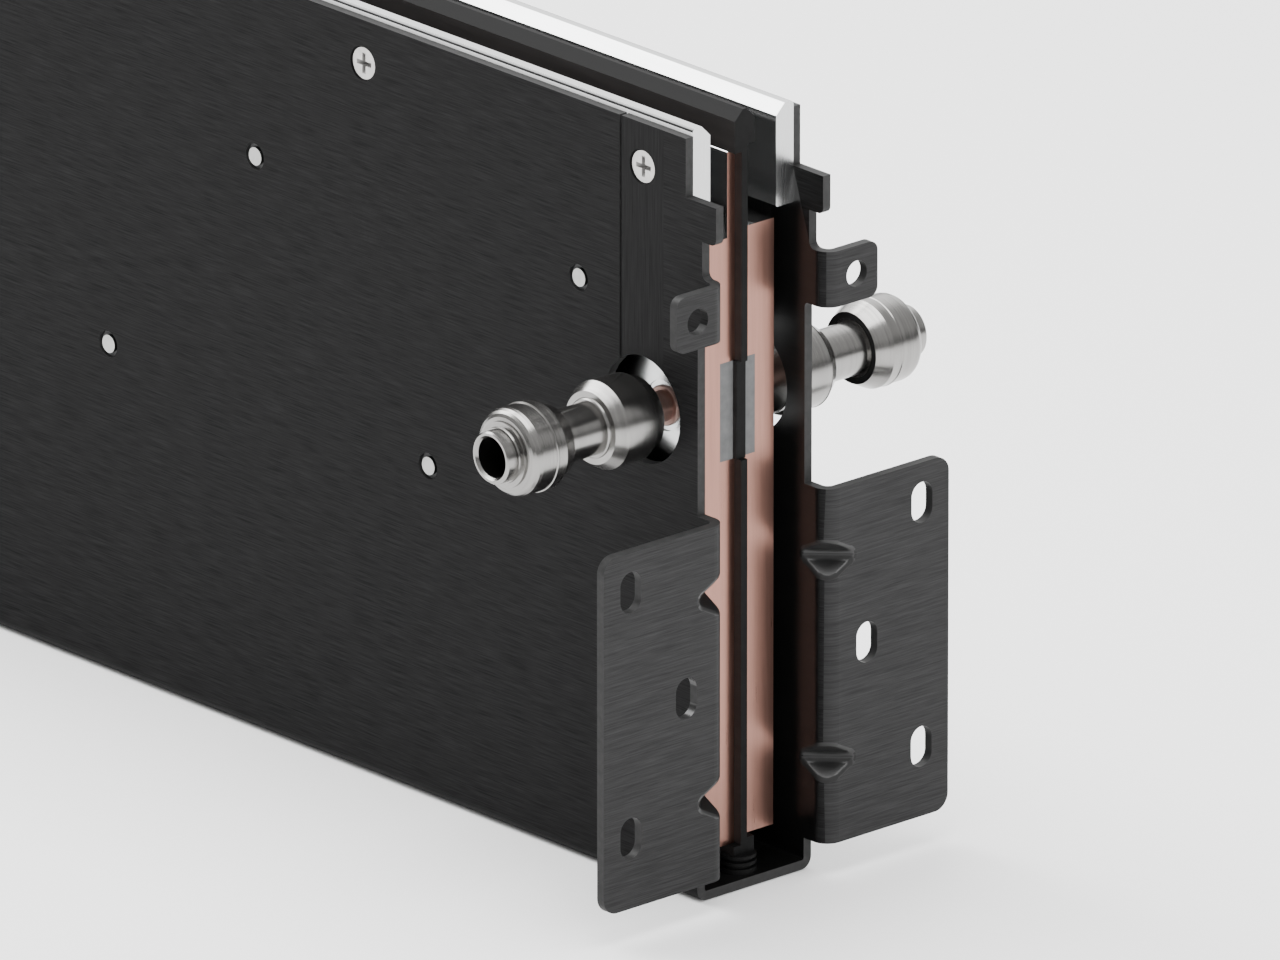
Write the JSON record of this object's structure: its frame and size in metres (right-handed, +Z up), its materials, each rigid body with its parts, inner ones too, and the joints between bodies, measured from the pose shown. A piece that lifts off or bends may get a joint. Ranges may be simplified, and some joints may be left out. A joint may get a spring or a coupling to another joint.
{
  "type": "liquid-cooled busbar",
  "caption": "Folded channel busbar with two water-cooled copper conductors, plated contact rails, end flanges and side fluid couplings.",
  "frame": {"origin": "middle of the channel's underside", "axes": "+X along the bar towards the near end, +Y to the right for someone facing that end, +Z up to the contact rails"},
  "size_m": [0.5504, 0.1131, 0.1644],
  "materials": {
    "black_panel": "brushed black coating",
    "silver_plate": "bright plated",
    "copper": "bare copper",
    "black_polymer": "smooth",
    "stainless": "turned stainless",
    "plug_grey": "matt",
    "dark_steel": "black coated screw",
    "pale_polymer": "plain",
    "seal_rubber": "matt"
  },
  "bodies": {
    "root": {"channel_housing": "black_panel", "centre_insulator": "black_polymer", "rail_screws": "dark_steel", "floor_standoffs": "black_polymer", "side_standoffs": "pale_polymer", "contact_rail_left": "silver_plate", "conductor_left": "copper", "duct_cover_left": "copper", "slot_cover_left_near": "black_panel", "duct_plug_left_near": "plug_grey", "port_spigot_left_near": "copper", "coupling_hub_left_near": "stainless", "coupling_body_left_near": "stainless", "gland_ring_left_near": "stainless", "coupling_stem_left_near": "stainless", "coupling_collar_left_near": "stainless", "coupling_nose_left_near": "stainless", "seal_ring_left_near": "seal_rubber", "slot_cover_left_far": "black_panel", "duct_plug_left_far": "plug_grey", "port_spigot_left_far": "copper", "coupling_hub_left_far": "stainless", "coupling_body_left_far": "stainless", "gland_ring_left_far": "stainless", "coupling_stem_left_far": "stainless", "coupling_collar_left_far": "stainless", "coupling_nose_left_far": "stainless", "seal_ring_left_far": "seal_rubber", "contact_rail_right": "silver_plate", "conductor_right": "copper", "duct_cover_right": "copper", "slot_cover_right_near": "black_panel", "duct_plug_right_near": "plug_grey", "port_spigot_right_near": "copper", "coupling_hub_right_near": "stainless", "coupling_body_right_near": "stainless", "gland_ring_right_near": "stainless", "coupling_stem_right_near": "stainless", "coupling_collar_right_near": "stainless", "coupling_nose_right_near": "stainless", "seal_ring_right_near": "seal_rubber", "slot_cover_right_far": "black_panel", "duct_plug_right_far": "plug_grey", "port_spigot_right_far": "copper", "coupling_hub_right_far": "stainless", "coupling_body_right_far": "stainless", "gland_ring_right_far": "stainless", "coupling_stem_right_far": "stainless", "coupling_collar_right_far": "stainless", "coupling_nose_right_far": "stainless", "seal_ring_right_far": "seal_rubber"}
  },
  "joints": []
}
